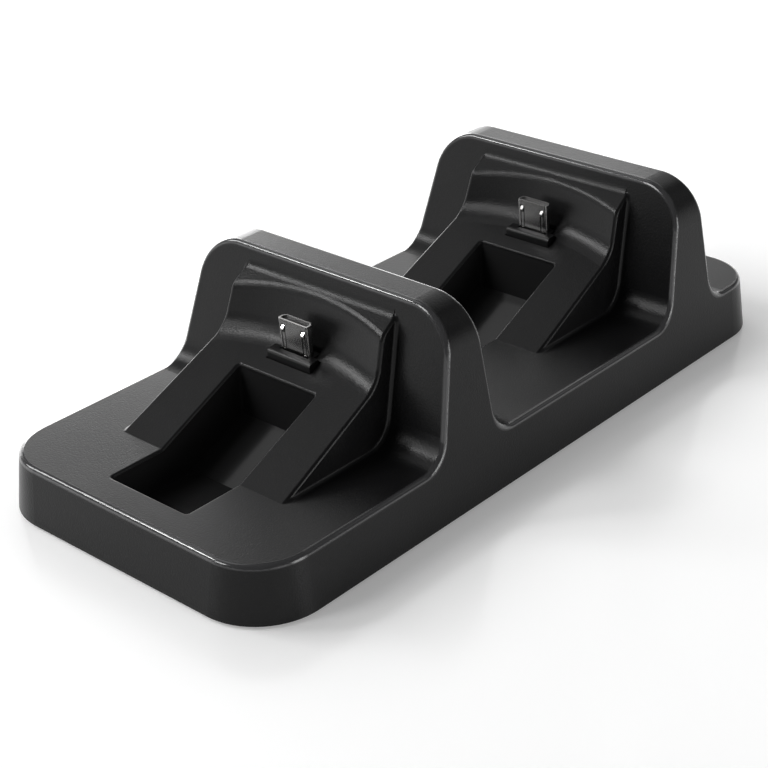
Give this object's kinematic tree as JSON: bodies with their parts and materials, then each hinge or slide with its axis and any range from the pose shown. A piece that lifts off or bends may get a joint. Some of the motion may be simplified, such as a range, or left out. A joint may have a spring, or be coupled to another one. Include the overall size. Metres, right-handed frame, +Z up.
{
  "type": "controller charging dock",
  "caption": "Charging dock for game controllers: a rounded base with upright backrests, sloped seats with bent troughs, and a small upright plug on each seat.",
  "frame": {"origin": "centre of the dock's outline on the plane its feet stand on", "axes": "+Y along the dock's length, from the front seat towards the rear inlet; +X across its width; +Z up"},
  "size_m": [0.0672, 0.1468, 0.0359],
  "materials": {
    "shell_black": "fine spark texture, satin",
    "cover_black": "fine spark texture",
    "foot_rubber": "matte rubber",
    "collar_black": "smooth moulded",
    "plug_steel": "bright rolled sheet",
    "insulator_black": "smooth moulded",
    "contact_gold": "gold flash",
    "board_green": "lacquered board",
    "chip_black": "moulded package",
    "capacitor_tan": "moulded package",
    "resistor_black": "glazed",
    "screw_steel": "zinc plated",
    "wire_red": "soft sleeve",
    "wire_black": "soft sleeve"
  },
  "bodies": {
    "root": {"bottom_cover": "cover_black", "charge_chip_left": "chip_black", "charge_chip_right": "chip_black", "chip_resistors": "resistor_black", "cover_screws": "screw_steel", "foot_front_left": "foot_rubber", "foot_front_right": "foot_rubber", "foot_rear_left": "foot_rubber", "foot_rear_right": "foot_rubber", "front_board_screws": "screw_steel", "front_plug_collar": "collar_black", "front_plug_contacts": "contact_gold", "front_plug_insulator": "insulator_black", "front_plug_latches": "plug_steel", "front_plug_shell": "plug_steel", "front_station_board": "board_green", "front_wire_black": "wire_black", "front_wire_red": "wire_red", "inlet_contacts": "contact_gold", "inlet_shell": "plug_steel", "inlet_tongue": "insulator_black", "input_capacitor": "capacitor_tan", "main_board": "board_green", "main_board_screws": "screw_steel", "output_capacitors": "capacitor_tan", "rear_board_screws": "screw_steel", "rear_plug_collar": "collar_black", "rear_plug_contacts": "contact_gold", "rear_plug_insulator": "insulator_black", "rear_plug_latches": "plug_steel", "rear_plug_shell": "plug_steel", "rear_station_board": "board_green", "rear_wire_black": "wire_black", "rear_wire_red": "wire_red", "top_shell": "shell_black"}
  },
  "joints": []
}
